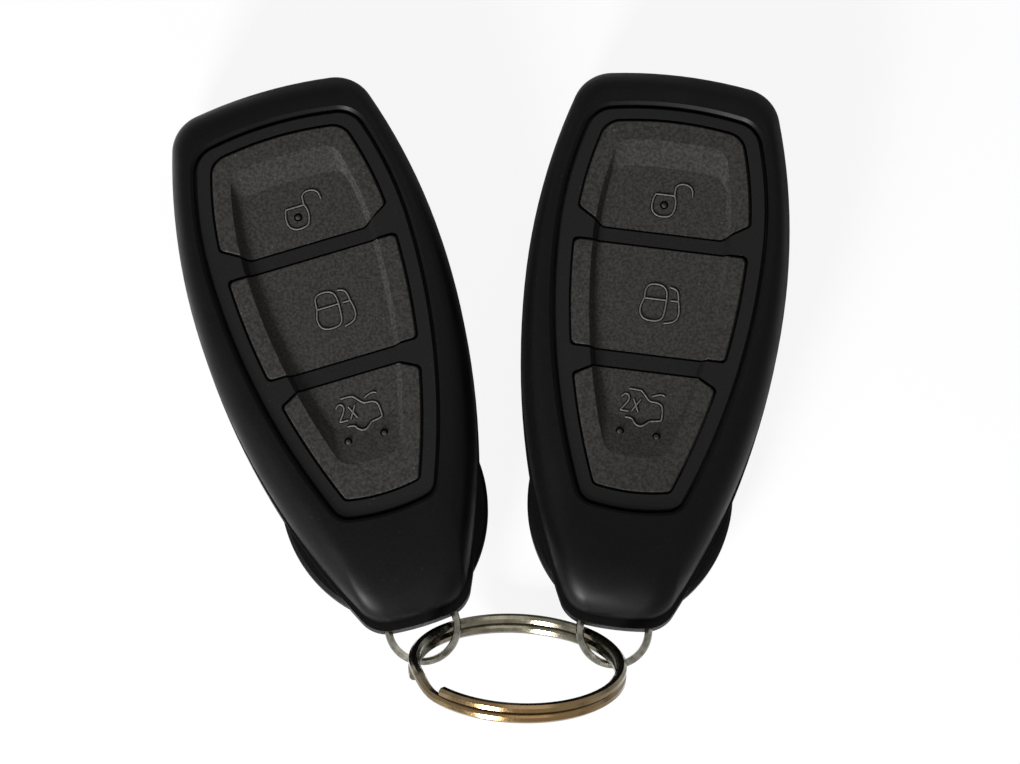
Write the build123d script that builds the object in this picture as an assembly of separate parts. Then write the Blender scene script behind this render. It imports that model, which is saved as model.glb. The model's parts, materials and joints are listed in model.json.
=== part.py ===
from build123d import *
import os
from dataclasses import dataclass, replace
from math import cos, hypot, radians, sin, sqrt

# A pair of three-button smart-key fobs that share one split ring.
# Both fobs lie on their backs, heads towards +Y and tails towards the ring. Lengths are in millimetres.
# Each fob is made once, in its own frame: its head tip is at the origin, it runs towards -Y, +Z is up
# and a station is a distance from the head tip. Then it is placed twice.

# Keypad, from the head to the tail
head_land = 6.15
bezel_head_border = 2.4
unlock_length = 17.0
upper_bar = 2.6
lock_length = 16.2
lower_bar = 2.9
boot_length = 18.4
bezel_tail_border = 3.2
tail_land = 15.15

# Outline of the case
case_half_width = 19.8
case_widest_station = 32.5
case_head_side_radius = 93.0
case_tail_side_radius = 108.0
case_head_end_radius = 70.0
case_tail_end_radius = 40.0
case_head_corner = 6.2
case_tail_corner = 5.0
tray_overhang = 1.3
tray_tail_side_radius = 115.0

# Outline of the keypad recess in the front shell
recess_side_land = 3.95
recess_head_side_radius = 58.0
recess_tail_side_radius = 106.0
recess_head_end_radius = 55.0
recess_tail_end_radius = 30.0
recess_head_corner = 4.6
recess_tail_corner = 3.2

# Borders, grooves and corners of the keypad
bezel_groove = 0.4
bezel_side_border = 2.85
button_groove = 0.35
button_corner = 0.9
button_round_corner = 3.0
unlock_chamfer_across = 4.1
unlock_chamfer_along = 2.5
boot_chamfer_across = 3.3
boot_chamfer_along = 1.8
button_edge = 0.2
sharp_edge_degrees = 15.0

# Trough that runs down the three buttons
trough_side_land = 2.7
trough_head_gap = 3.0
trough_head_slope = 3.9
trough_side_slope = 0.8
trough_tail_gap = 5.2
trough_tail_slope = 6.0
trough_depth = 1.1
trough_corner = 2.5
trough_end_radius = 60.0

# Heights of the stack, from the back to the face
cover_floor = 1.3
key_clearance = 0.15
key_thickness = 2.9
cover_gap = 0.1
tray_floor = 0.9
contact_thickness = 0.25
cell_thickness = 3.2
board_thickness = 0.8
switch_body_height = 0.7
switch_stem_height = 0.4
press_gap = 0.6
button_flange = 0.6
fit_gap = 0.1
bezel_flange = 0.6
rim_height = 2.15
keypad_sink = 0.7
button_sink = 0.1
tray_wall_height = 3.9
shoulder_height = 1.1

# Walls of the case
case_wall = 1.6
chamber_tail_gap = 1.5
rim_land = 1.0
rim_chamfer = 0.45
flange_width = 0.9
button_flange_width = 0.8
spigot_wall = 1.0
cover_wall = 1.5
back_side_inset = 4.6
back_head_inset = 4.6
tail_sweep_rise = 5.0
cover_split_share = 0.7
corner_find_share = 0.1

# Key that is stored under the back cover
key_head_width = 12.1
key_head_length = 21.0
key_blade_width = 7.4
key_blade_thickness = 2.1
key_blade_length = 38.0
key_blade_tang = 8.0
key_groove_width = 1.6
key_groove_depth = 0.5
key_tip_chamfer = 2.2
key_rib = 1.0
key_rib_end_gap = 2.2
key_lip_width = 0.9
key_lip_height = 0.8
cover_rail = 1.0
cover_rail_margin = 3.5

# Squeeze tabs at the tail
tab_gap = 0.12
tab_start_gap = 3.9
tab_length = 15.5
tab_depth = 2.4
tab_bulge = 1.5
tab_travel = 1.0
tab_height = 3.2
tab_roof = 1.1
tab_edge = 0.5

# Wire bail in the tail
bail_wire = 1.15
bail_wire_sides = 8
bail_half_width = 5.15
bail_bend = 0.8
bail_pin_length = 1.3
bail_inset = 3.1
bail_reach = 0.3
bail_below_split = 1.8
bail_swing_degrees = 8.0
bail_clearance = 0.06

# Electronics
board_margin = 0.3
cell_radius = 10.0
cell_pocket_gap = 0.25
cell_pocket_wall = 0.9
cell_edge = 0.3
switch_body = 4.2
switch_stem_radius = 1.0
switch_window_gap = 0.5
mat_thickness = 0.5
mat_overlap = 1.2
antenna_size = 9.5
antenna_height = 2.6
antenna_core = 6.0
antenna_groove = 0.7
antenna_station = 14.0
chip_station = 27.5
controller_size = 7.0
radio_size = 5.0
crystal_length = 3.2
crystal_width = 1.6
chip_height = 0.9
chip_gap = 1.2
contact_width = 5.0
contact_finger_gap = 0.8
contact_notch_gap = 0.2
contact_plate_length = 13.0
contact_plate_width = 9.0

# Split ring
ring_outer_radius = 16.1
ring_wire_radial = 1.55
ring_wire_axial = 1.4
ring_wire_chamfer = 0.4
ring_layer_gap = 0.06
ring_tilt_degrees = 57.0
ring_turn_degrees = -3.0
ring_upper_start_degrees = 226.0
ring_ramp_start_degrees = 195.0
ring_ramp_end_degrees = 222.0
ring_lower_end_degrees = 552.0
ring_ramp_steps = 6

# Places of the two bail loops and of the ring on the table
left_loop_x = -12.85
left_loop_y = -37.26
left_turn_degrees = 16.95
right_loop_x = 15.77
right_loop_y = -37.76
right_turn_degrees = -7.1
ring_x = 1.3
ring_y = -44.3
ring_floor_gap = 0.05

cut_overrun = 5.0

# Stations down the keypad, added up from the head
recess_start = head_land
unlock_start = recess_start + bezel_head_border
unlock_end = unlock_start + unlock_length
recess_widest_station = unlock_end + upper_bar / 2
lock_start = unlock_end + upper_bar
lock_end = lock_start + lock_length
boot_start = lock_end + lower_bar
boot_end = boot_start + boot_length
recess_end = boot_end + bezel_tail_border
case_end = recess_end + tail_land
tray_end = case_end + tray_overhang

# Heights, added up from the back
key_z = cover_floor + key_clearance
tray_z = key_z + key_thickness + key_clearance
cover_top_z = tray_z - cover_gap
tray_floor_z = tray_z + tray_floor
cell_z = tray_floor_z + contact_thickness
cell_top_z = cell_z + cell_thickness
board_z = cell_top_z + contact_thickness
board_top_z = board_z + board_thickness
switch_top_z = board_top_z + switch_body_height + switch_stem_height
button_z = switch_top_z + press_gap
bezel_z = button_z + button_flange + fit_gap
lip_z = bezel_z + bezel_flange + fit_gap
rim_z = lip_z + rim_height
bezel_top_z = rim_z - keypad_sink
button_top_z = bezel_top_z - button_sink
trough_z = button_top_z - trough_depth
split_z = tray_z + tray_wall_height
shoulder_z = split_z + shoulder_height
bail_z = split_z - bail_below_split

# Stations of what lies behind the keypad
cover_end = boot_start + boot_length * cover_split_share
cell_station = (lock_start + boot_end) / 2
bail_pin_station = tray_end - bail_inset
bail_loop_station = tray_end + bail_reach
tab_start = cover_end + tab_start_gap
tab_end = tab_start + tab_length
key_tip_station = key_head_length - key_blade_tang + key_blade_length


@dataclass
class Outline:
    """A closed pebble shape: bowed ends, bowed sides that meet at the widest station, rounded corners."""

    head: float
    tail: float
    half_width: float
    widest: float
    head_side: float
    tail_side: float
    head_end: float
    tail_end: float
    head_corner: float
    tail_corner: float

    def inset(self, amount):
        """The parallel outline that lies this far inside."""
        return Outline(
            self.head + amount,
            self.tail - amount,
            self.half_width - amount,
            self.widest,
            self.head_side - amount,
            self.tail_side - amount,
            self.head_end - amount,
            self.tail_end - amount,
            self.head_corner - amount,
            self.tail_corner - amount,
        )

    def blend(self, other, share):
        """The outline that lies this share of the way to another one."""
        pairs = zip(vars(self).values(), vars(other).values())
        return Outline(*[mine + (theirs - mine) * share for mine, theirs in pairs])

    def side_x(self, station):
        """Half the width at a station, without the rounded corners."""
        radius = self.head_side if station < self.widest else self.tail_side
        return self.half_width - radius + sqrt(radius**2 - (station - self.widest) ** 2)

    def face(self):
        head_side_centre = (self.half_width - self.head_side, -self.widest)
        tail_side_centre = (self.half_width - self.tail_side, -self.widest)
        head_corner = crossing(head_side_centre, self.head_side, -self.head - self.head_end, self.head_end, 1)
        tail_corner = crossing(tail_side_centre, self.tail_side, -self.tail + self.tail_end, self.tail_end, -1)
        widest = (self.half_width, -self.widest)
        mirrored = [(-x, y) for x, y in (head_corner, widest, tail_corner)]
        edges = [
            ThreePointArc(mirrored[0], (0, -self.head), head_corner),
            arc_about(head_side_centre, head_corner, widest),
            arc_about(tail_side_centre, widest, tail_corner),
            ThreePointArc(tail_corner, (0, -self.tail), mirrored[2]),
            arc_about((-tail_side_centre[0], -self.widest), mirrored[2], mirrored[1]),
            arc_about((-head_side_centre[0], -self.widest), mirrored[1], mirrored[0]),
        ]
        shape = make_face(edges)
        for corner, radius in ((head_corner, self.head_corner), (tail_corner, self.tail_corner)):
            reach = radius * corner_find_share
            near = [v for v in shape.vertices() if hypot(abs(v.X) - corner[0], v.Y - corner[1]) < reach]
            shape = fillet(near, radius)
        return shape

    def prism(self, z_low, z_high):
        return extrude(Pos(0, 0, z_low) * self.face(), z_high - z_low)


def crossing(side_centre, side_radius, end_y, end_radius, end_sign):
    """Where a side arc meets an end arc centred on the axis at end_y: the crossing nearest that end."""
    across = -side_centre[0]
    along = end_y - side_centre[1]
    distance = hypot(across, along)
    reach = (side_radius**2 - end_radius**2 + distance**2) / (2 * distance)
    height = sqrt(side_radius**2 - reach**2)
    unit_x, unit_y = across / distance, along / distance
    foot_x = side_centre[0] + reach * unit_x
    foot_y = side_centre[1] + reach * unit_y
    points = [(foot_x - side * height * unit_y, foot_y + side * height * unit_x) for side in (-1, 1)]
    return max(points, key=lambda point: end_sign * point[1])


def arc_about(centre, start, end):
    """The short arc about a centre from one point to another."""
    middle = ((start[0] + end[0]) / 2 - centre[0], (start[1] + end[1]) / 2 - centre[1])
    stretch = hypot(start[0] - centre[0], start[1] - centre[1]) / hypot(*middle)
    return ThreePointArc(start, (centre[0] + middle[0] * stretch, centre[1] + middle[1] * stretch), end)


case = Outline(
    0,
    case_end,
    case_half_width,
    case_widest_station,
    case_head_side_radius,
    case_tail_side_radius,
    case_head_end_radius,
    case_tail_end_radius,
    case_head_corner,
    case_tail_corner,
)
tray = replace(case, tail=tray_end, tail_side=tray_tail_side_radius)
recess = Outline(
    recess_start,
    recess_end,
    case_half_width - recess_side_land,
    recess_widest_station,
    recess_head_side_radius,
    recess_tail_side_radius,
    recess_head_end_radius,
    recess_tail_end_radius,
    recess_head_corner,
    recess_tail_corner,
)
button_field = replace(
    recess.inset(bezel_side_border),
    head=unlock_start,
    tail=boot_end,
    head_corner=button_round_corner,
    tail_corner=button_corner,
)
trough_top = replace(
    button_field.inset(trough_side_land),
    head=unlock_start + trough_head_gap,
    tail=boot_end - trough_tail_gap,
    head_end=trough_end_radius,
    head_corner=trough_corner,
    tail_corner=trough_corner,
)
trough_floor = replace(
    trough_top,
    head=trough_top.head + trough_head_slope,
    tail=trough_top.tail - trough_tail_slope,
    half_width=trough_top.half_width - trough_side_slope,
)
chamber = replace(case.inset(case_wall), tail=recess_end + chamber_tail_gap)
back_land = replace(
    case.inset(back_side_inset),
    head=back_head_inset,
    tail=tray_end - back_head_inset,
    head_corner=case_head_corner,
    tail_corner=case_tail_corner,
)


@dataclass
class Button:
    """The stations of one button, and the chamfer that cuts both its corners at one end."""

    start: float
    end: float
    chamfered_at: float = None
    across: float = 0
    along: float = 0


buttons = {
    "unlock_button": Button(unlock_start, unlock_end, unlock_end, unlock_chamfer_across, unlock_chamfer_along),
    "lock_button": Button(lock_start, lock_end),
    "boot_button": Button(boot_start, boot_end, boot_start, boot_chamfer_across, boot_chamfer_along),
}


def box_between(x_low, x_high, station_low, station_high, z_low, z_high):
    """A block between two widths, two stations and two heights."""
    size = (x_high - x_low, station_high - station_low, z_high - z_low)
    centre = ((x_low + x_high) / 2, -(station_low + station_high) / 2, (z_low + z_high) / 2)
    return Pos(*centre) * Box(*size)


def pillow_sections(outer, inner, z_outer, z_inner):
    """Outlines that roll over a quarter of an ellipse, from the outer one to the inner one."""
    roll_shares = (0, 1 / 6, 1 / 3, 1 / 2, 2 / 3, 5 / 6, 1)
    sections = []
    for share in roll_shares:
        angle = radians(90 * share)
        outline = outer.blend(inner, 1 - cos(angle))
        sections.append(Pos(0, 0, z_outer + (z_inner - z_outer) * sin(angle)) * outline.face())
    return sections


def upper_form():
    """The outside of the front shell: an upright shoulder, then a pillow up to the rim of the keypad."""
    shoulder = case.prism(split_z, shoulder_z)
    pillow = loft(pillow_sections(case, recess.inset(-rim_land), shoulder_z, rim_z), ruled=True)
    return shoulder + pillow


def lower_form():
    """The outside of the back: a flat land, a rolled edge and an upright wall, swept up at the tail."""
    roll = loft(pillow_sections(tray, back_land, tray_z, 0), ruled=True)
    wall = tray.prism(tray_z, split_z)
    far_station = tray_end + cut_overrun
    far_rise = tail_sweep_rise * (far_station - cover_end) / (tray_end - cover_end)
    sweep = Polyline(
        (0, -cover_end, 0),
        (0, -far_station, far_rise),
        (0, -far_station, -cut_overrun),
        (0, -cover_end, -cut_overrun),
        close=True,
    )
    wedge = extrude(make_face(sweep), case_half_width + cut_overrun, both=True)
    return roll + wall - wedge


def button_block(button, grow, z_low, z_high):
    """One button's upright block, let out all round by grow, with its corners chamfered and rounded."""
    start, end = button.start - grow, button.end + grow
    span = Pos(0, -(start + end) / 2) * Rectangle(2 * case_half_width, end - start)
    plan = button_field.inset(-grow).face() & span
    for station, direction in ((button.start, -1), (button.end, 1)):
        if station == button.chamfered_at:
            reach = button_field.side_x(station)
            normal_length = hypot(button.across, button.along)
            shift_x = grow * button.along / normal_length
            shift_y = grow * button.across / normal_length
            near = (reach - 2 * button.across + shift_x, -station - direction * (button.along + shift_y))
            far = (reach + button.across + shift_x, -station + direction * (2 * button.along - shift_y))
            outside = -station - direction * cut_overrun
            corner = make_face(Polyline(near, far, (far[0], outside), (near[0], outside), close=True))
            plan = plan - corner - mirror(corner, Plane.YZ)
    block = extrude(Pos(0, 0, z_low) * plan, z_high - z_low)
    return fillet(sharp_uprights(block), button_corner)


def sharp_uprights(solid):
    """The upright edges where two side faces meet at an angle."""
    sharp = []
    for edge in solid.edges().filter_by(Axis.Z):
        sides = [face for face in solid.faces() if edge in face.edges()]
        normals = [face.normal_at(edge @ 0.5) for face in sides]
        if len(normals) == 2 and normals[0].get_angle(normals[1]) > sharp_edge_degrees:
            sharp.append(edge)
    return sharp


def trough_cutter():
    """The trough's own shape, with its sloped walls carried on above the buttons."""
    overrun_share = 1 + (button_sink + fit_gap) / trough_depth
    low = Pos(0, 0, trough_z) * trough_floor.face()
    high = Pos(0, 0, trough_z + trough_depth * overrun_share) * trough_floor.blend(trough_top, overrun_share).face()
    return loft([low, high], ruled=True)


def make_front_shell():
    shell = upper_form()
    shell -= chamber.prism(split_z - cut_overrun, bezel_z)
    shell -= recess.inset(-flange_width - fit_gap).prism(bezel_z - fit_gap, lip_z)
    shell -= recess.prism(lip_z - fit_gap, rim_z + cut_overrun)
    chamfer_low = Pos(0, 0, rim_z - rim_chamfer) * recess.face()
    chamfer_high = Pos(0, 0, rim_z + rim_chamfer) * recess.inset(-2 * rim_chamfer).face()
    return shell - loft([chamfer_low, chamfer_high], ruled=True)


def make_bezel(trough):
    bezel = recess.inset(bezel_groove).prism(bezel_z, bezel_top_z)
    top_edges = bezel.faces().sort_by(Axis.Z)[-1].edges()
    bezel = chamfer(top_edges, button_edge)
    bezel += recess.inset(-flange_width).prism(bezel_z, bezel_z + bezel_flange)
    for button in buttons.values():
        bezel -= button_block(button, button_groove, bezel_z - cut_overrun, bezel_top_z + cut_overrun)
    return bezel - trough


def make_button(button, trough):
    body = button_block(button, 0, button_z, button_top_z)
    body = chamfer(body.faces().sort_by(Axis.Z)[-1].edges(), button_edge)
    flange = button_block(button, button_flange_width, button_z, button_z + button_flange)
    return body + flange - trough


def button_stations():
    return [(button.start + button.end) / 2 for button in buttons.values()]


def make_tact_switches():
    switches = []
    for station in button_stations():
        body = Box(switch_body, switch_body, switch_body_height, align=(Align.CENTER, Align.CENTER, Align.MIN))
        stem_height = switch_body_height + switch_stem_height
        stem = Cylinder(switch_stem_radius, stem_height, align=(Align.CENTER, Align.CENTER, Align.MIN))
        switches.append(Pos(0, -station, board_top_z) * (body + stem))
    return Compound(switches)


def make_keypad_mat():
    mat = button_field.inset(-mat_overlap).prism(board_top_z, board_top_z + mat_thickness)
    window = switch_body / 2 + switch_window_gap
    for station in button_stations():
        z_high = board_top_z + cut_overrun
        mat -= box_between(-window, window, station - window, station + window, board_top_z - cut_overrun, z_high)
    return mat


def make_circuit_board():
    return chamber.inset(board_margin).prism(board_z, board_top_z)


def make_coin_cell():
    cell = Cylinder(cell_radius, cell_thickness, align=(Align.CENTER, Align.CENTER, Align.MIN))
    return Pos(0, -cell_station, cell_z) * chamfer(cell.edges(), cell_edge)


def make_positive_contact():
    """A sprung plate soldered under the board, split into fingers that press on the cell."""
    half = contact_plate_width / 2
    tail = cell_station + contact_plate_length / 2
    plate = box_between(-half, half, cell_station - contact_plate_length / 2, tail, cell_top_z, board_z)
    for side in (-1, 1):
        slot_x = side * half / 2
        slot_start = cell_station - contact_plate_length / 4
        slot_edges = (slot_x - contact_finger_gap / 2, slot_x + contact_finger_gap / 2)
        plate -= box_between(*slot_edges, slot_start, tail + cut_overrun, cell_top_z - fit_gap, board_z + fit_gap)
    return plate


def make_negative_contact():
    """A strip under the cell that rises through a notch in the pocket wall to the board."""
    half = contact_width / 2
    riser = cell_station - cell_radius - cell_pocket_gap - cell_pocket_wall - chip_gap
    foot = box_between(-half, half, riser, cell_station + half, tray_floor_z, cell_z)
    return foot + box_between(-half, half, riser, riser + contact_thickness, tray_floor_z, board_z)


def make_antenna_coil():
    """A square ferrite under the board, with a groove round it for its windings."""
    half = antenna_size / 2
    z_low = board_z - antenna_height
    block = box_between(-half, half, antenna_station - half, antenna_station + half, z_low, board_z)
    groove = antenna_height / 2 - antenna_groove
    middle = (z_low + board_z) / 2
    core_half = antenna_core / 2
    band = box_between(-antenna_size, antenna_size, 0, antenna_station + antenna_size, middle - groove, middle + groove)
    core_stations = (antenna_station - core_half, antenna_station + core_half)
    return block - (band - box_between(-core_half, core_half, *core_stations, middle - groove, middle + groove))


def make_board_chips():
    """The controller, the radio and the crystal, on the underside of the board."""
    z_low = board_z - chip_height
    controller_x = -controller_size / 2 - chip_gap
    radio_x = radio_size / 2 + chip_gap
    crystal_x = radio_x + radio_size / 2 + chip_gap + crystal_width / 2
    chips = []
    for x, width, length in (
        (controller_x, controller_size, controller_size),
        (radio_x, radio_size, radio_size),
        (crystal_x, crystal_width, crystal_length),
    ):
        spans = (x - width / 2, x + width / 2, chip_station - length / 2, chip_station + length / 2)
        chips.append(box_between(*spans, z_low, board_z))
    return Compound(chips)


def tab_plan(inward, gap):
    """The plan of the +X squeeze tab; inward and gap open it out into the pocket it moves in."""
    start = tab_start - gap
    end = tab_end + gap
    middle = (start + end) / 2
    outer = [(tray.side_x(start), -start), (tray.side_x(middle) + tab_bulge, -middle), (tray.side_x(end), -end)]
    inner = [(outer[2][0] - tab_depth - inward, -end), (outer[0][0] - tab_depth - inward, -start)]
    edges = [ThreePointArc(*outer), Polyline(outer[2], inner[0], inner[1], outer[0])]
    return make_face(edges)


def make_squeeze_tab():
    tab_top = split_z - tab_roof - tab_gap
    tab = extrude(Pos(0, 0, tab_top - tab_height) * tab_plan(0, 0), tab_height)
    outer_edges = [e for e in tab.edges() if e.geom_type == GeomType.CIRCLE]
    return chamfer(outer_edges, tab_edge)


def tab_pocket():
    pocket = extrude(
        Pos(0, 0, split_z - tab_roof - tab_height - 2 * tab_gap) * tab_plan(tab_travel + tab_gap, tab_gap),
        tab_height + 2 * tab_gap,
    )
    return pocket + mirror(pocket, Plane.YZ)


def bail_slots():
    """Slots and pin bores in the tail for the bail's two legs and their bent ends."""
    swing = (tray_end - bail_pin_station) * sin(radians(bail_swing_degrees))
    half_height = bail_wire / 2 + swing + bail_clearance
    half_width = bail_wire / 2 + bail_clearance
    bend_room = bail_wire / 2 + bail_clearance + fit_gap
    slot_x = (bail_half_width - half_width, bail_half_width + half_width)
    slot_stations = (bail_pin_station - bend_room, tray_end + cut_overrun)
    slot = box_between(*slot_x, *slot_stations, bail_z - half_height, bail_z + half_height)
    pocket_end = bail_half_width + bail_bend + bail_pin_length + fit_gap
    bore_length = pocket_end - slot_x[0]
    bore = Cylinder(half_width, bore_length, rotation=(0, 90, 0), align=(Align.CENTER, Align.CENTER, Align.MIN))
    slot += Pos(slot_x[0], -bail_pin_station, bail_z) * bore
    bend_stations = (bail_pin_station - bend_room, bail_pin_station + bail_bend + bend_room)
    bend_x = (slot_x[0], bail_half_width + bail_bend + fit_gap)
    slot += box_between(*bend_x, *bend_stations, bail_z - half_height, bail_z + half_height)
    return slot + mirror(slot, Plane.YZ)


def make_tray(form):
    """The middle of the case: it holds the board and the cell, and below it the key, the tabs and the bail."""
    high_zone = box_between(-case_half_width, case_half_width, -cut_overrun, tray_end + cut_overrun, tray_z, split_z)
    tail_start = cover_end + cover_gap
    tail_zone = box_between(-case_half_width, case_half_width, tail_start, tray_end + cut_overrun, 0, split_z)
    body = form & (high_zone + tail_zone)
    body += chamber.inset(fit_gap).prism(tray_floor_z, board_z)
    body -= chamber.inset(fit_gap + spigot_wall).prism(tray_floor_z, board_z + cut_overrun)
    body += cell_pocket_ring()
    for side in (-1, 1):
        body += key_rib_with_lip(side)
    return body - tab_pocket() - bail_slots()


def cell_pocket_ring():
    inner = cell_radius + cell_pocket_gap
    height = cell_top_z - tray_floor_z
    align = (Align.CENTER, Align.CENTER, Align.MIN)
    ring = Cylinder(inner + cell_pocket_wall, height, align=align) - Cylinder(inner, height, align=align)
    ring = Pos(0, -cell_station, tray_floor_z) * ring
    half = contact_width / 2 + contact_notch_gap
    notch_stations = (cell_station - 2 * cell_radius, cell_station)
    return ring - box_between(-half, half, *notch_stations, tray_floor_z, cell_top_z + cut_overrun)


def key_rib_with_lip(side):
    """One side wall of the key's channel, with the foot that the cover's rail hooks over."""
    inner = key_head_width / 2 + key_clearance
    outer = inner + key_rib
    stations = (key_rib_end_gap, key_tip_station + key_rib_end_gap)
    rib = box_between(inner, outer, *stations, key_z, tray_z)
    rib += box_between(outer, outer + key_lip_width, *stations, key_z, key_z + key_lip_height)
    return rib if side > 0 else mirror(rib, Plane.YZ)


def make_back_cover(form):
    """The sliding back: a shallow dish with two hooked rails and a mouth for the key's head."""
    zone = box_between(-case_half_width, case_half_width, -cut_overrun, cover_end, 0, cover_top_z)
    cover = form & zone
    cover -= case.inset(cover_wall).prism(cover_floor, tray_z)
    mouth = key_head_width / 2 + key_clearance
    cover -= box_between(-mouth, mouth, -cut_overrun, key_head_length, cover_floor, tray_z)
    foot = key_head_width / 2 + key_clearance + key_rib + key_lip_width
    rail_x = foot + key_clearance
    hook_z = key_z + key_lip_height + key_clearance
    stations = (cover_rail_margin, cover_end - cover_rail_margin)
    rail = box_between(rail_x, rail_x + cover_rail, *stations, cover_floor, hook_z + key_lip_height)
    rail += box_between(rail_x - key_lip_width, rail_x, *stations, hook_z, hook_z + key_lip_height)
    return cover + rail + mirror(rail, Plane.YZ)


def make_key_head(form):
    half = key_head_width / 2
    block = box_between(-half, half, -cut_overrun, key_head_length, key_z, key_z + key_thickness)
    grip = form & block
    return grip - blade_blank()


def blade_blank():
    half = key_blade_width / 2
    start = key_head_length - key_blade_tang
    middle = key_z + key_thickness / 2
    z_edges = (middle - key_blade_thickness / 2, middle + key_blade_thickness / 2)
    return box_between(-half, half, start, start + key_blade_length, *z_edges)


def make_key_blade():
    """A flat blade with a chamfered tip and a groove milled along each face."""
    blade = blade_blank()
    tip = blade.faces().sort_by(Axis.Y)[0].edges().filter_by(Axis.Z)
    blade = chamfer(tip, key_tip_chamfer)
    middle = key_z + key_thickness / 2
    start = key_head_length + key_groove_width
    half = key_groove_width / 2
    for side in (-1, 1):
        face_z = middle + side * key_blade_thickness / 2
        stations = (start, key_tip_station + cut_overrun)
        blade -= box_between(-half, half, *stations, face_z - key_groove_depth, face_z + key_groove_depth)
    return blade


def make_bail():
    """A wire U whose ends are bent outwards as pins."""
    leg = bail_half_width
    bend_y = -bail_pin_station - bail_bend
    wire = RegularPolygon(bail_wire / 2, bail_wire_sides)
    at_leg = Plane((leg, bend_y, 0), x_dir=(1, 0, 0), z_dir=(0, -1, 0))
    at_pin = Plane((leg + bail_bend, -bail_pin_station, 0), x_dir=(0, 1, 0), z_dir=(1, 0, 0))
    at_bow = Plane((leg, -bail_loop_station, 0), x_dir=(1, 0, 0), z_dir=(0, -1, 0))
    half = extrude(at_leg * wire, bail_loop_station - bail_pin_station - bail_bend)
    half += revolve(at_leg * wire, Axis((leg + bail_bend, bend_y, 0), (0, 0, -1)), 90)
    half += extrude(at_pin * wire, bail_pin_length)
    bow = revolve(at_bow * wire, Axis((0, -bail_loop_station, 0), (0, 0, -1)), 180)
    return Pos(0, 0, bail_z) * (bow + half + mirror(half, Plane.YZ))


def ring_section(degrees_round, axial):
    """The wire's section at an angle round the ring, at a height along the ring's own axis."""
    radius = ring_outer_radius - ring_wire_radial / 2
    angle = radians(degrees_round)
    origin = (radius * cos(angle), radius * sin(angle), axial)
    plane = Plane(origin, x_dir=(cos(angle), sin(angle), 0), z_dir=(-sin(angle), cos(angle), 0))
    profile = Rectangle(ring_wire_radial, ring_wire_axial)
    return plane * chamfer(profile.vertices(), ring_wire_chamfer)


def make_split_ring():
    """Two flat turns of wire, one on the other, joined by the step where the wire crosses over."""
    offset_axial = (ring_wire_axial + ring_layer_gap) / 2
    upper_turn = 360 + ring_ramp_start_degrees - ring_upper_start_degrees
    lower_turn = ring_lower_end_degrees - ring_ramp_end_degrees
    upper = revolve(ring_section(ring_upper_start_degrees, offset_axial), Axis.Z, upper_turn)
    lower = revolve(ring_section(ring_ramp_end_degrees, -offset_axial), Axis.Z, lower_turn)
    sections = []
    for step in range(ring_ramp_steps + 1):
        share = step / ring_ramp_steps
        eased = (1 - cos(radians(180 * share))) / 2
        angle = ring_ramp_start_degrees + (ring_ramp_end_degrees - ring_ramp_start_degrees) * share
        sections.append(ring_section(angle, offset_axial - 2 * offset_axial * eased))
    return upper + loft(sections, ruled=True) + lower


def place_ring(ring):
    """Tilts the ring, near side up, and stands it on its far side."""
    tilt = radians(ring_tilt_degrees)
    lowest = ring_outer_radius * sin(tilt) + (ring_wire_axial + ring_layer_gap / 2) * cos(tilt)
    stand = Pos(ring_x, ring_y, lowest + ring_floor_gap)
    return stand * Rot(0, 0, ring_turn_degrees) * Rot(-ring_tilt_degrees, 0, 0) * ring


def make_fob():
    """All pieces of one fob, by name, in the fob's own frame."""
    form = lower_form()
    trough = trough_cutter()
    pieces = {
        "front_shell": make_front_shell(),
        "keypad_bezel": make_bezel(trough),
        "keypad_mat": make_keypad_mat(),
        "circuit_board": make_circuit_board(),
        "tact_switches": make_tact_switches(),
        "board_chips": make_board_chips(),
        "antenna_coil": make_antenna_coil(),
        "coin_cell": make_coin_cell(),
        "positive_contact": make_positive_contact(),
        "negative_contact": make_negative_contact(),
        "tray": make_tray(form),
        "back_cover": make_back_cover(form),
        "key_head": make_key_head(form),
        "key_blade": make_key_blade(),
        "squeeze_tab_r": make_squeeze_tab(),
        "squeeze_tab_l": mirror(make_squeeze_tab(), Plane.YZ),
        "bail": make_bail(),
    }
    for name, button in buttons.items():
        pieces[name] = make_button(button, trough)
    return pieces


def fob_place(loop_x, loop_y, turn_degrees):
    """Where a fob lies: its bail's loop on a point of the table, its head turned from +Y."""
    return Pos(loop_x, loop_y, 0) * Rot(0, 0, turn_degrees) * Pos(0, bail_loop_station, 0)


places = {
    "left": fob_place(left_loop_x, left_loop_y, left_turn_degrees),
    "right": fob_place(right_loop_x, right_loop_y, right_turn_degrees),
}


def make_all():
    """Every piece of the pair, by node name, centred over the origin."""
    fob = make_fob()
    nodes = {"split_ring": place_ring(make_split_ring())}
    for side, place in places.items():
        for name, piece in fob.items():
            nodes[f"{side}_{name}"] = place * piece
    boxes = [piece.bounding_box() for piece in nodes.values()]
    low_x, high_x = min(b.min.X for b in boxes), max(b.max.X for b in boxes)
    low_y, high_y = min(b.min.Y for b in boxes), max(b.max.Y for b in boxes)
    centre = Pos(-(low_x + high_x) / 2, -(low_y + high_y) / 2, 0)
    print("centring shift", [round(v, 4) for v in centre.position])
    return {name: centre * piece for name, piece in nodes.items()}, centre


nodes, centring = make_all()
os.makedirs("parts", exist_ok=True)
for name, piece in nodes.items():
    export_step(piece, f"parts/{name}.step")
print(len(nodes), "pieces written")
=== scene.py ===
# %% [markdown]
# Two smart-key fobs lie on their backs on a white table, joined by a split ring. Every shape that
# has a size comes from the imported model. This script gives the pieces their smooth surfaces, their
# plastics and metals, the raised symbols on the buttons, and the table, lamps and camera.

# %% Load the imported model
import bpy
import bmesh
import json
from math import radians, sin, cos
from mathutils import Matrix, Vector
from mathutils.bvhtree import BVHTree


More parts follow.
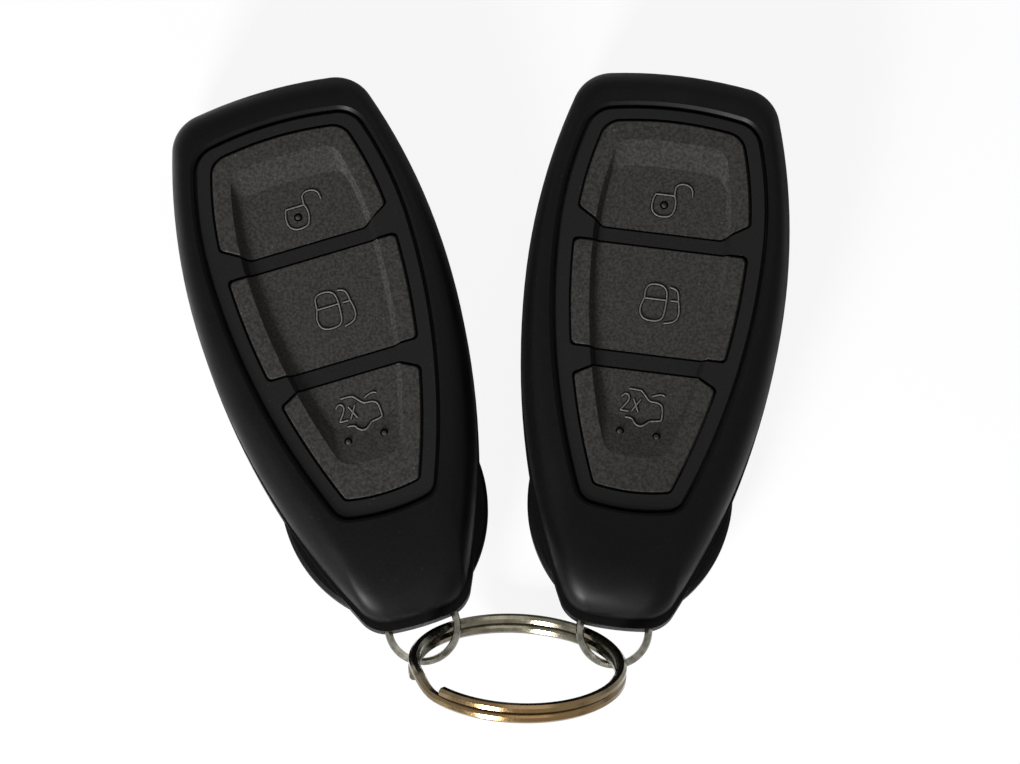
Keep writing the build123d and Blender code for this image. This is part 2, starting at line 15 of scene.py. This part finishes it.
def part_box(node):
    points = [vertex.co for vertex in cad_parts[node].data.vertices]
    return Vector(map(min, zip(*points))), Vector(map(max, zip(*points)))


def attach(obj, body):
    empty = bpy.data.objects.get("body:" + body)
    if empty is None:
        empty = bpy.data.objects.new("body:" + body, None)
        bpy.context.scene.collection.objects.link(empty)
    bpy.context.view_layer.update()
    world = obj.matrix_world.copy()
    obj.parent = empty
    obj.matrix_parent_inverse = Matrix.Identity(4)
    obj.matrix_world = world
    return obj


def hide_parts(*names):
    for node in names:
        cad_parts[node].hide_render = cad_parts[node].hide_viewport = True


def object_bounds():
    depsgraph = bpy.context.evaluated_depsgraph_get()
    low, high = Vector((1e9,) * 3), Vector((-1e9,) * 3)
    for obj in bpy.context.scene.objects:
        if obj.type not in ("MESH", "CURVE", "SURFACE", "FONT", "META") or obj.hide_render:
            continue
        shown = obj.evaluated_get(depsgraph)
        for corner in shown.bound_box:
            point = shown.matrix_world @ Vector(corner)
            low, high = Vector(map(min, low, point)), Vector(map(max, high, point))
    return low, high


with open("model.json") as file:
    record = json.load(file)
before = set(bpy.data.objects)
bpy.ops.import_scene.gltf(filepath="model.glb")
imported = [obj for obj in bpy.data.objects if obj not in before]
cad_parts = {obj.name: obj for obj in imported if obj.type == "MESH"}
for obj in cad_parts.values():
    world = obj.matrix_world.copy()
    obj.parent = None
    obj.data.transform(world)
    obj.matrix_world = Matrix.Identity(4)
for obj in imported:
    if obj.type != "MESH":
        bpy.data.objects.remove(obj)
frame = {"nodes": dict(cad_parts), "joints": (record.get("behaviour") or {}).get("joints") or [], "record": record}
record = frame["record"]
cad_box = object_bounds()
print("CAD box", cad_box)

# %% Units and the bookkeeping of bodies and slots
MM = 0.001
body_of_node = {}
for body, members in record["behaviour"]["bodies"].items():
    for member in members:
        body_of_node[member] = body
slot_of_node = {row["node"]: row["material_slot"] for row in record["subparts"]}
joint_named = {joint["name"]: joint for joint in frame["joints"]}

# %% [markdown]
# Each fob is drawn in its own frame: across it, along it from the head, and up. The bail's pin and
# the slide of the back cover say where that frame lies on the table, so nothing is measured twice.

# %% The frame of each fob
bail_pin_from_head = 82.2 * MM


def fob_frame(side):
    along = Vector(joint_named[f"{side}_back_cover_slide"]["axis"]).normalized()
    pin = Vector(joint_named[f"{side}_bail_swing"]["pos_m"])
    head = Vector((pin.x, pin.y, 0)) + along * bail_pin_from_head
    across = along.cross(Vector((0, 0, 1)))
    place = Matrix((across, along, (0, 0, 1))).transposed().to_4x4()
    place.translation = head
    return place


fob_frames = {side: fob_frame(side) for side in ("left", "right")}
print({side: place.translation for side, place in fob_frames.items()})

# %% [markdown]
# A finish starts with an empty node tree. Patterns read Object coordinates, in metres, so a scale
# of 1000 makes features of about one millimetre, and nothing depends on an unwrapped mesh.

# %% Helpers for finishes


def start_finish(name):
    material = bpy.data.materials.new(name)
    material.use_nodes = True
    tree = material.node_tree
    tree.nodes.clear()
    output = tree.nodes.new("ShaderNodeOutputMaterial")
    shader = tree.nodes.new("ShaderNodeBsdfPrincipled")
    tree.links.new(shader.outputs["BSDF"], output.inputs["Surface"])
    return material, tree, shader


def noise_on_piece(tree, scale, detail):
    coordinates = tree.nodes.new("ShaderNodeTexCoord")
    noise = tree.nodes.new("ShaderNodeTexNoise")
    noise.inputs["Scale"].default_value = scale
    noise.inputs["Detail"].default_value = detail
    tree.links.new(coordinates.outputs["Object"], noise.inputs["Vector"])
    return noise.outputs["Fac"]


def spread(tree, value, lowest, highest, start=0.35, end=0.65):
    """Stretches the middle of a noise to the range that a socket needs."""
    remap = tree.nodes.new("ShaderNodeMapRange")
    for socket, number in (("From Min", start), ("From Max", end), ("To Min", lowest), ("To Max", highest)):
        remap.inputs[socket].default_value = number
    tree.links.new(value, remap.inputs["Value"])
    return remap.outputs["Result"]


def mix_colours(tree, share, first, second):
    mix = tree.nodes.new("ShaderNodeMix")
    mix.data_type = "RGBA"
    tree.links.new(share, mix.inputs["Factor"])
    for socket, colour in ((6, first), (7, second)):
        if isinstance(colour, tuple):
            mix.inputs[socket].default_value = (*colour, 1)
        else:
            tree.links.new(colour, mix.inputs[socket])
    return mix.outputs[2]


def add_bump(tree, shader, height, strength, depth):
    bump = tree.nodes.new("ShaderNodeBump")
    bump.inputs["Strength"].default_value = strength
    bump.inputs["Distance"].default_value = depth
    tree.links.new(height, bump.inputs["Height"])
    tree.links.new(bump.outputs["Normal"], shader.inputs["Normal"])


# %% [markdown]
# Moulded plastic is never one even black. Handling polishes it in blotches, the mould leaves a fine
# grain, and dust sits on it in specks. One function makes every plastic here, with its own
# darkness, grain and polish.

# %% Plastics
blotch_scale = 140
speck_scale = 1900
speck_window = (0.74, 0.8)


def moulded_plastic(name, dark, light, rough, grain_scale, grain_depth, specular, speck):
    material, tree, shader = start_finish(name)
    blotch = noise_on_piece(tree, blotch_scale, 4)
    grain = noise_on_piece(tree, grain_scale, 2)
    specks = spread(tree, noise_on_piece(tree, speck_scale, 1), 0, 1, *speck_window)
    colour = mix_colours(tree, spread(tree, grain, 0, 1), dark, light)
    colour = mix_colours(tree, specks, colour, speck)
    tree.links.new(colour, shader.inputs["Base Color"])
    tree.links.new(spread(tree, blotch, rough[0], rough[1]), shader.inputs["Roughness"])
    shader.inputs["Specular IOR Level"].default_value = specular
    add_bump(tree, shader, grain, 0.6, grain_depth)
    return material


finishes = {
    "shell_black": moulded_plastic(
        "shell_black", (0.0022, 0.0022, 0.0024), (0.0036, 0.0036, 0.0039), (0.36, 0.48),
        3200, 0.000015, 0.06, (0.01, 0.01, 0.01)
    ),
    "bezel_black": moulded_plastic(
        "bezel_black", (0.006, 0.006, 0.0062), (0.009, 0.009, 0.0094), (0.38, 0.5),
        3800, 0.00001, 0.08, (0.02, 0.02, 0.02)
    ),
    "tray_black": moulded_plastic(
        "tray_black", (0.0025, 0.0025, 0.0025), (0.0045, 0.0045, 0.0045), (0.45, 0.6),
        3000, 0.00003, 0.05, (0.01, 0.01, 0.01)
    ),
    "button_grey": moulded_plastic(
        "button_grey", (0.018, 0.0173, 0.0163), (0.04, 0.0388, 0.0365), (0.45, 0.6),
        2400, 0.00003, 0.08, (0.08, 0.08, 0.075)
    ),
    "key_black": moulded_plastic(
        "key_black", (0.006, 0.006, 0.006), (0.01, 0.01, 0.01), (0.4, 0.55),
        3000, 0.00003, 0.2, (0.02, 0.02, 0.02)
    ),
    "mat_rubber": moulded_plastic(
        "mat_rubber", (0.025, 0.025, 0.025), (0.04, 0.04, 0.04), (0.7, 0.85),
        2200, 0.00003, 0.2, (0.06, 0.06, 0.06)
    ),
    "board_green": moulded_plastic(
        "board_green", (0.01, 0.1, 0.04), (0.015, 0.13, 0.055), (0.25, 0.35),
        1200, 0.00001, 0.5, (0.3, 0.28, 0.12)
    ),
    "chip_black": moulded_plastic(
        "chip_black", (0.02, 0.02, 0.02), (0.03, 0.03, 0.03), (0.5, 0.6),
        4000, 0.00001, 0.3, (0.05, 0.05, 0.05)
    ),
    "ferrite_grey": moulded_plastic(
        "ferrite_grey", (0.08, 0.075, 0.07), (0.12, 0.11, 0.1), (0.5, 0.65),
        2500, 0.00003, 0.4, (0.2, 0.19, 0.17)
    ),
}
print(len(finishes), "plastics")

# %% [markdown]
# The bails and the ring are plated wire that has been carried for years: the plating is scratched
# in patches. The ring is also coloured towards brass on its near arc, the side away from the fobs,
# and olive nickel on the far one.

# %% Metals


def worn_metal(name, bright, tarnished, rough, patch_scale):
    material, tree, shader = start_finish(name)
    patches = noise_on_piece(tree, patch_scale, 5)
    scratches = noise_on_piece(tree, patch_scale * 6, 3)
    colour = mix_colours(tree, spread(tree, patches, 0, 1), bright, tarnished)
    tree.links.new(colour, shader.inputs["Base Color"])
    tree.links.new(spread(tree, scratches, rough[0], rough[1]), shader.inputs["Roughness"])
    shader.inputs["Metallic"].default_value = 1
    add_bump(tree, shader, scratches, 0.25, 0.000008)
    return material, tree, shader


def two_tone_ring(name):
    """Brassy on the near arc and olive nickel on the far one."""
    material, tree, shader = worn_metal(name, (0.17, 0.155, 0.115), (0.1, 0.09, 0.065), (0.14, 0.24), 500)
    plated = shader.inputs["Base Color"].links[0].from_socket
    coordinates = tree.nodes.new("ShaderNodeTexCoord")
    split = tree.nodes.new("ShaderNodeSeparateXYZ")
    tree.links.new(coordinates.outputs["Object"], split.inputs["Vector"])
    low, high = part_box("split_ring")
    nearness = spread(tree, split.outputs["Y"], 1, 0, low.y, (low.y + high.y) / 2)
    tree.links.new(mix_colours(tree, nearness, plated, (0.17, 0.105, 0.042)), shader.inputs["Base Color"])
    return material


for slot, bright, tarnished, rough, patch_scale in (
    ("bail_nickel", (0.22, 0.21, 0.18), (0.11, 0.105, 0.085), (0.16, 0.3), 900),
    ("key_steel", (0.5, 0.49, 0.47), (0.38, 0.37, 0.35), (0.25, 0.4), 500),
    ("switch_steel", (0.6, 0.6, 0.59), (0.5, 0.5, 0.49), (0.25, 0.35), 500),
    ("cell_steel", (0.62, 0.62, 0.61), (0.52, 0.52, 0.51), (0.2, 0.35), 400),
    ("contact_nickel", (0.58, 0.56, 0.52), (0.46, 0.44, 0.4), (0.25, 0.35), 600),
):
    finishes[slot] = worn_metal(slot, bright, tarnished, rough, patch_scale)[0]
finishes["ring_nickel"] = two_tone_ring("ring_nickel")
finishes["symbol_print"] = moulded_plastic(
    "symbol_print", (0.085, 0.081, 0.071), (0.13, 0.124, 0.11), (0.5, 0.6),
    3000, 0.00001, 0.1, (0.13, 0.124, 0.11)
)
# Near-black painted shade, standing in for the groove round the symbols and the dots.
finishes["symbol_groove"] = moulded_plastic(
    "symbol_groove", (0.0008, 0.0008, 0.0008), (0.0015, 0.0015, 0.0015), (0.8, 0.9),
    3000, 0.00001, 0.0, (0.002, 0.002, 0.002)
)
print(len(finishes), "finishes")

# %% [markdown]
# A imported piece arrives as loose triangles, each shaded flat. A real moulding is smooth, with crisp
# lines only where its faces meet at an angle. So a copy is merged, its edges are marked by their
# angle, and the copy takes the piece's place. A weighted normal keeps the flat faces flat beside
# their rounded edges. The ends of the trough slope so gently that the buttons and their frame need
# a smaller angle, or that slope would be lost.

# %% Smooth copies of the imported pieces
crisp_angle = radians(28)
keypad_crisp_angle = radians(8)
merge_distance = 2e-6


def smooth_copy(node):
    mesh_kit = bmesh.new()
    mesh_kit.from_mesh(frame["nodes"][node].data)
    bmesh.ops.remove_doubles(mesh_kit, verts=mesh_kit.verts, dist=merge_distance)
    for face in mesh_kit.faces:
        face.smooth = True
        face.material_index = 0
    limit = keypad_crisp_angle if node.endswith(("_button", "_bezel")) else crisp_angle
    for edge in mesh_kit.edges:
        edge.smooth = edge.calc_face_angle(0) < limit
    mesh = bpy.data.meshes.new(f"{node}_moulded")
    mesh_kit.to_mesh(mesh)
    mesh_kit.free()
    piece = bpy.data.objects.new(f"{node}_moulded", mesh)
    bpy.context.scene.collection.objects.link(piece)
    mesh.materials.append(finishes[slot_of_node[node]])
    normals = piece.modifiers.new("flat faces", "WEIGHTED_NORMAL")
    normals.keep_sharp = True
    return piece


for node in sorted(body_of_node):
    piece = smooth_copy(node)
    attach(piece, body_of_node[node])
    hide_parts(node)
    frame["nodes"][node].data.materials.clear()
    frame["nodes"][node].data.materials.append(finishes[slot_of_node[node]])
print(len(body_of_node), "pieces smoothed")

# %% [markdown]
# The symbols are thin raised lines. Under each lies a wider near-black bead, painted shade that stands
# in for the groove round the line. Each line is a bevelled curve that follows its points, laid on the
# button by a ray from above, so it sits on the floor of the trough wherever that slopes. The places are
# given in the photograph's pixels, across the fob and down it from the head. A dot is a small dome on a
# wider and flatter black one, painted shade that stands in for the groove round it.

# %% Symbol places
across_mm_per_pixel = 0.1495
along_mm_per_pixel = 0.156
along_start_mm = -0.2
line_half_width = 0.15 * MM
# The wider bead under each line is painted shade for its groove: near black, sunk so it shows as a dark band
# beside the line.
groove_shade_half_width = 0.45 * MM
groove_shade_sink = 0.34 * MM
line_sink = 0.0 * MM

open_padlock = [
    [
        (-11, 127), (-13, 131), (-14, 139), (-12.5, 145), (-7, 149), (1, 149), (7, 147), (10, 140),
        (10, 131), (8, 127),
    ],
    [(8, 127), (-11, 127)],
    [(8, 127), (8, 121), (9, 117), (13, 114.5), (19, 114.5), (24, 117), (26, 121), (26, 126)],
]
closed_padlocks = [
    [(-10, 231), (-10, 224), (-8, 218), (-2, 216), (6, 216.5), (11, 220), (12.5, 226), (12.5, 231)],
    [(-10, 231), (12.5, 231)],
    [(-10, 231), (-13, 238), (-13, 246), (-9, 251.5), (0, 253), (8, 251.5), (12, 246), (12.5, 231)],
    [(14.5, 218), (20, 218.5), (24, 223), (24.5, 231)],
    [(16.5, 231), (24.5, 231)],
    [(24.5, 231), (26.5, 238), (26, 247), (21, 252.5), (12, 254)],
]
open_boot = [
    [
        (-21, 330), (-19, 327), (-15, 326.5), (-12.5, 330), (-14, 334.5), (-20.5, 342.5),
        (-20.5, 343.5), (-12.5, 343.5),
    ],
    [(-8.5, 331), (-2.5, 343.5)],
    [(-1.5, 331), (-9.5, 343.5)],
    [
        (-14, 321.5), (-3, 321.5), (0, 323.5), (6, 330.5), (9, 332), (15, 332), (20, 334),
        (21.5, 338), (22, 348), (20, 350), (10, 351), (8, 353), (3, 357), (-2, 357), (-6, 353.5),
        (-8, 349.5), (-15, 349.5),
    ],
    [(9.5, 327), (19, 322), (22.5, 325.5)],
]


# %% Drawing lines on a button


def button_surface(node):
    mesh_kit = bmesh.new()
    mesh_kit.from_mesh(frame["nodes"][node].data)
    surface = BVHTree.FromBMesh(mesh_kit)
    mesh_kit.free()
    return surface


def place_on_button(surface, side, across, along, sink):
    """The point on the button under a place in the photograph, let into it by sink."""
    down_fob = (along * along_mm_per_pixel + along_start_mm) * MM
    local = Vector((across * across_mm_per_pixel * MM, -down_fob, 0))
    start = fob_frames[side] @ local + Vector((0, 0, 100 * MM))
    hit = surface.ray_cast(start, Vector((0, 0, -1)))[0]
    return hit - Vector((0, 0, sink))


def line_piece(name, strokes, surface, side, half_width, sink, finish):
    curve = bpy.data.curves.new(name, "CURVE")
    curve.dimensions = "3D"
    curve.bevel_depth = half_width
    curve.bevel_resolution = 2
    curve.use_fill_caps = True
    curve.resolution_u = 6
    for stroke in strokes:
        spline = curve.splines.new("NURBS")
        spline.points.add(len(stroke) - 1)
        for point, (across, along) in zip(spline.points, stroke):
            point.co = (*place_on_button(surface, side, across, along, sink), 1)
        spline.order_u = 3
        spline.use_endpoint_u = True
    carrier = bpy.data.objects.new(name + "_curve", curve)
    bpy.context.scene.collection.objects.link(carrier)
    depsgraph = bpy.context.evaluated_depsgraph_get()
    mesh = bpy.data.meshes.new_from_object(carrier.evaluated_get(depsgraph))
    bpy.data.objects.remove(carrier)
    mesh.name = name
    mesh.materials.clear()
    mesh.materials.append(finishes[finish])
    mesh.shade_smooth()
    piece = bpy.data.objects.new(name, mesh)
    bpy.context.scene.collection.objects.link(piece)
    return piece


def dome_piece(name, surface, side, across, along, radius, height, finish):
    """A raised dot: the top half of a flattened ball."""
    centre = place_on_button(surface, side, across, along, 0)
    mesh_kit = bmesh.new()
    bmesh.ops.create_uvsphere(mesh_kit, u_segments=24, v_segments=12, radius=radius)
    bmesh.ops.scale(mesh_kit, vec=(1, 1, height / radius), verts=mesh_kit.verts)
    bmesh.ops.translate(mesh_kit, vec=centre, verts=mesh_kit.verts)
    mesh = bpy.data.meshes.new(name)
    mesh_kit.to_mesh(mesh)
    mesh_kit.free()
    mesh.shade_smooth()
    mesh.materials.append(finishes[finish])
    piece = bpy.data.objects.new(name, mesh)
    bpy.context.scene.collection.objects.link(piece)
    return piece


# %% The symbols of both fobs
dot_radius = 0.4 * MM
dot_height = 0.26 * MM
# Under each dot lies a wider, flatter near-black dome: painted shade for the groove round the dot.
dot_shade_radius = 0.64 * MM
dot_shade_height = 0.09 * MM
symbols = {
    "unlock_button": (open_padlock, [(-1.5, 137.5)]),
    "lock_button": (closed_padlocks, []),
    "boot_button": (open_boot, [(-18.5, 364.5), (18.5, 366)]),
}
for side in ("left", "right"):
    for button, (strokes, dots) in symbols.items():
        node = f"{side}_{button}"
        surface = button_surface(node)
        # Each stroke is drawn twice: first a near-black bead of painted shade for its groove, then the raised
        # line.
        drawn = [
            line_piece(f"{node}_{part}", strokes, surface, side, half_width, sink, finish)
            for part, half_width, sink, finish in (
                ("groove", groove_shade_half_width, groove_shade_sink, "symbol_groove"),
                ("symbol", line_half_width, line_sink, "symbol_print"),
            )
        ]
        # Each dot is drawn as a flat near-black dome of painted shade, with the raised dot on top of it.
        for number, (across, along) in enumerate(dots):
            for part, radius, height, finish in (
                ("ring", dot_shade_radius, dot_shade_height, "symbol_groove"),
                ("dot", dot_radius, dot_height, "button_grey"),
            ):
                name = f"{node}_{part}_{number}"
                drawn.append(dome_piece(name, surface, side, across, along, radius, height, finish))
        for piece in drawn:
            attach(piece, body_of_node[node])
        tops = {piece.name: round(max(v.co.z for v in piece.data.vertices) / MM, 3) for piece in drawn}
        print(node, "symbol tops", tops)

# %% [markdown]
# The table is a plain white sheet, a hair below the fobs so that no two faces share a plane. For
# camera rays it is mostly self-white, so it reads as the white background and keeps a faint shadow.

# %% Table
table_half = 2.0
table_drop = 0.05 * MM
own_white_share = 0.9


def white_table():
    material, tree, shader = start_finish("table_white")
    shader.inputs["Base Color"].default_value = (0.93, 0.93, 0.93, 1)
    shader.inputs["Roughness"].default_value = 0.9
    shader.inputs["Specular IOR Level"].default_value = 0
    glow = tree.nodes.new("ShaderNodeEmission")
    rays = tree.nodes.new("ShaderNodeLightPath")
    share = tree.nodes.new("ShaderNodeMath")
    share.operation = "MULTIPLY"
    share.inputs[1].default_value = own_white_share
    tree.links.new(rays.outputs["Is Camera Ray"], share.inputs[0])
    mix = tree.nodes.new("ShaderNodeMixShader")
    tree.links.new(share.outputs[0], mix.inputs[0])
    tree.links.new(shader.outputs["BSDF"], mix.inputs[1])
    tree.links.new(glow.outputs[0], mix.inputs[2])
    output = next(n for n in tree.nodes if n.type == "OUTPUT_MATERIAL")
    tree.links.new(mix.outputs[0], output.inputs["Surface"])
    return material


mesh_kit = bmesh.new()
bmesh.ops.create_grid(mesh_kit, x_segments=1, y_segments=1, size=table_half)
bmesh.ops.translate(mesh_kit, vec=(0, 0, -table_drop), verts=mesh_kit.verts)
table_mesh = bpy.data.meshes.new("table")
mesh_kit.to_mesh(table_mesh)
mesh_kit.free()
table_mesh.materials.append(white_table())
table = bpy.data.objects.new("table", table_mesh)
bpy.context.scene.collection.objects.link(table)
print("table", table.dimensions)

# %% [markdown]
# The world lights the fobs with a weak grey, and is white where the camera, a gloss or a clear
# piece looks at it. The stronger lamp stands low on the left in front, because in the photograph
# the right wall and the head wall of the troughs are lit and their left wall lies in shadow. The
# weaker one softens that from behind.

# %% World and lamps
ambient_strength = 0.14
world = bpy.data.worlds.new("white_room")
bpy.context.scene.world = world
world.use_nodes = True
room = world.node_tree
room.nodes.clear()
room_output = room.nodes.new("ShaderNodeOutputWorld")
ambient = room.nodes.new("ShaderNodeBackground")
ambient.inputs["Strength"].default_value = ambient_strength
white = room.nodes.new("ShaderNodeBackground")
white.inputs["Color"].default_value = (1, 1, 1, 1)
ambient.inputs["Color"].default_value = (1, 1, 1, 1)
seen = room.nodes.new("ShaderNodeLightPath")
either = room.nodes.new("ShaderNodeMath")
either.operation = "MAXIMUM"
room.links.new(seen.outputs["Is Camera Ray"], either.inputs[0])
room.links.new(seen.outputs["Is Glossy Ray"], either.inputs[1])
any_of_three = room.nodes.new("ShaderNodeMath")
any_of_three.operation = "MAXIMUM"
room.links.new(either.outputs[0], any_of_three.inputs[0])
room.links.new(seen.outputs["Is Transmission Ray"], any_of_three.inputs[1])
room_mix = room.nodes.new("ShaderNodeMixShader")
room.links.new(any_of_three.outputs[0], room_mix.inputs[0])
room.links.new(ambient.outputs[0], room_mix.inputs[1])
room.links.new(white.outputs[0], room_mix.inputs[2])
room.links.new(room_mix.outputs[0], room_output.inputs["Surface"])

aim = (cad_box[0] + cad_box[1]) / 2


def soft_lamp(name, offset, size, power):
    lamp = bpy.data.lights.new(name, "AREA")
    lamp.size = size
    lamp.energy = power
    holder = bpy.data.objects.new(name, lamp)
    bpy.context.scene.collection.objects.link(holder)
    holder.location = aim + Vector(offset)
    holder.rotation_mode = "QUATERNION"
    holder.rotation_quaternion = (-Vector(offset)).to_track_quat("-Z", "Y")
    return holder


soft_lamp("front_left_lamp", (-0.26, -0.52, 0.2), 0.16, 10.5)
soft_lamp("back_lamp", (0.15, 0.4, 0.5), 0.4, 0.6)
print("two lamps")

# %% [markdown]
# The camera looks almost straight down, from the ring's side, with a long lens. The photograph's
# width covers about 155 mm at the height of the fobs.

# %% Camera
camera_height_degrees = 78.5
camera_distance = 0.62
camera_lens_mm = 144.5
look_at = Vector((4.5, 3.3, 7.0)) * MM
camera = bpy.data.cameras.new("camera")
camera.lens = camera_lens_mm
camera_holder = bpy.data.objects.new("camera", camera)
bpy.context.scene.collection.objects.link(camera_holder)
height = radians(camera_height_degrees)
back = Vector((0, -cos(height), sin(height)))
camera_holder.location = look_at + back * camera_distance
camera_holder.rotation_mode = "QUATERNION"
camera_holder.rotation_quaternion = (-back).to_track_quat("-Z", "Y")
bpy.context.scene.camera = camera_holder
bpy.context.scene.view_settings.view_transform = "Standard"
print("camera at", camera_holder.location)
